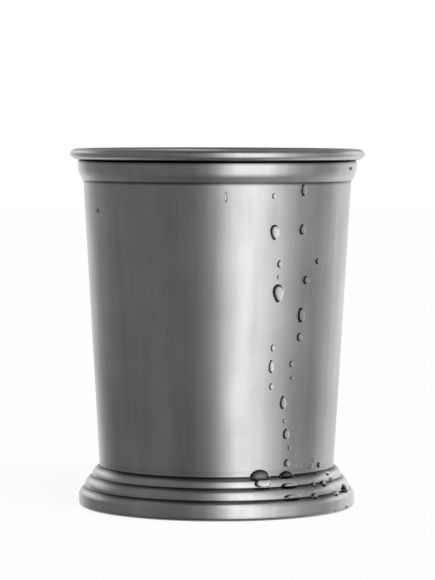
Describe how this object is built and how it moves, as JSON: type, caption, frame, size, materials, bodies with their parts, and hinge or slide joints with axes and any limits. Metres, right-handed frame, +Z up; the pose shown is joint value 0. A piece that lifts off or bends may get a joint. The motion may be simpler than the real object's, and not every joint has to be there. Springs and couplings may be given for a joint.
{
  "type": "julep cup",
  "caption": "Tapered metal julep cup with a rolled lip, a flared collar band under it, and a hollow stepped foot closed by a dished base plate.",
  "frame": {"origin": "centre of the ring that the cup stands on, on the cup's axis, at the standing face", "axes": "+Z up along the cup's axis, from the standing face to the mouth; the cup is round, so +X and +Y are free"},
  "size_m": [0.0894, 0.0894, 0.1085],
  "materials": {
    "body_steel": "spun, satin, lightly antiqued",
    "collar_steel": "spun, satin, lightly antiqued",
    "foot_steel": "spun, satin, darker in the creases",
    "plate_steel": "satin, turned"
  },
  "bodies": {
    "root": {"cup_body": "body_steel", "collar_band": "collar_steel", "foot_ring": "foot_steel", "base_plate": "plate_steel"}
  },
  "joints": []
}
